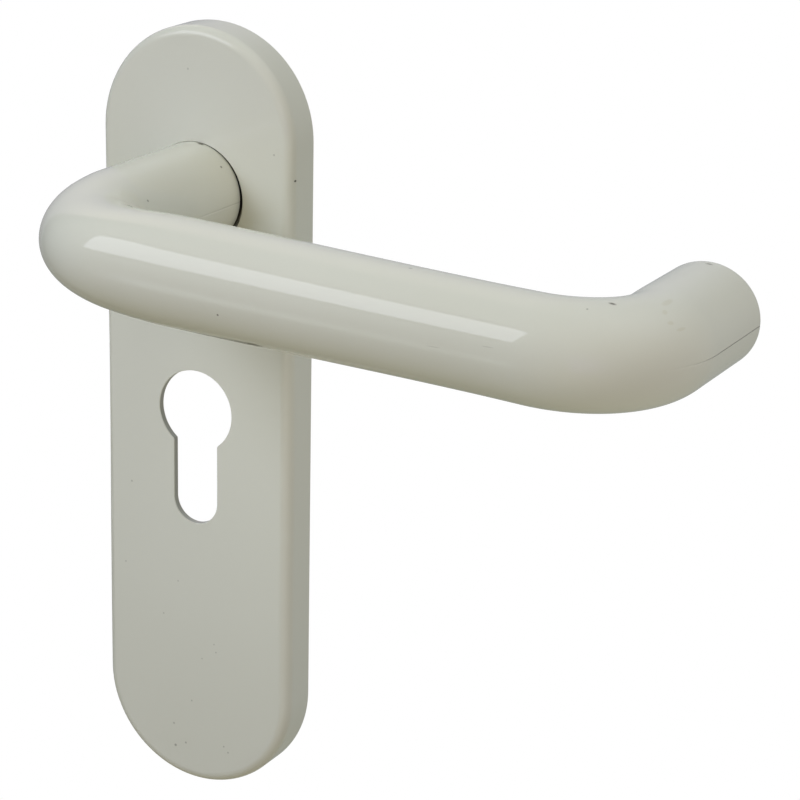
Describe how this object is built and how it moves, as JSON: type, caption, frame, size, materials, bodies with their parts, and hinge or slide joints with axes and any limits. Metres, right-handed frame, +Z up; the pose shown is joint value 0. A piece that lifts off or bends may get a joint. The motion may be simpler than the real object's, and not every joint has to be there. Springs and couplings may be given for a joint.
{
  "type": "lever handle on backplate",
  "caption": "Nylon U-shaped safety lever handle on a round-ended backplate with a euro-profile cylinder cut-out, sprung, with a square spindle.",
  "frame": {"origin": "spindle axis on the door's face", "axes": "+X along the lever to its free end, +Y into the door along the spindle, +Z up"},
  "size_m": [0.154, 0.1026, 0.1704],
  "materials": {
    "nylon_cover": "glossy moulded nylon",
    "nylon_lever": "glossy moulded nylon",
    "zinc_plated_steel": "zinc-plated pressed steel",
    "bush_plastic": "natural acetal",
    "washer_plastic": "black nylon",
    "spring_steel": "oiled spring steel",
    "spring_wire": "drawn spring wire",
    "pin_steel": "bright steel",
    "core_steel": "drawn mild steel",
    "black_steel": "black-oxide steel",
    "spindle_steel": "zinc-plated square bar"
  },
  "bodies": {
    "backplate": {"cover_plate": "nylon_cover", "mounting_plate": "zinc_plated_steel", "bearing_bush": "bush_plastic", "glide_washer": "washer_plastic", "thrust_washer": "spring_steel", "return_spring": "spring_wire", "stop_pin_rest": "pin_steel", "stop_pin_end": "pin_steel", "cover_clip_1": "spring_steel", "clip_rivet_1": "pin_steel", "cover_clip_2": "spring_steel", "clip_rivet_2": "pin_steel", "cover_clip_3": "spring_steel", "clip_rivet_3": "pin_steel", "cover_clip_4": "spring_steel", "clip_rivet_4": "pin_steel"},
    "lever": {"lever_grip": "nylon_lever", "lever_core": "core_steel", "neck_insert": "core_steel", "grub_screw": "black_steel", "square_spindle": "spindle_steel", "cam_plate": "zinc_plated_steel", "retaining_ring": "black_steel"}
  },
  "joints": [
    {"name": "lever_turn", "type": "hinge", "parent": "backplate", "child": "lever", "pos_m": [0, 0, 0], "axis": [0, 1, 0], "range_deg": [0, 45], "stiffness_Nm_per_rad": 0.53, "springref_deg": -31.51, "deforming": ["return_spring"]}
  ]
}
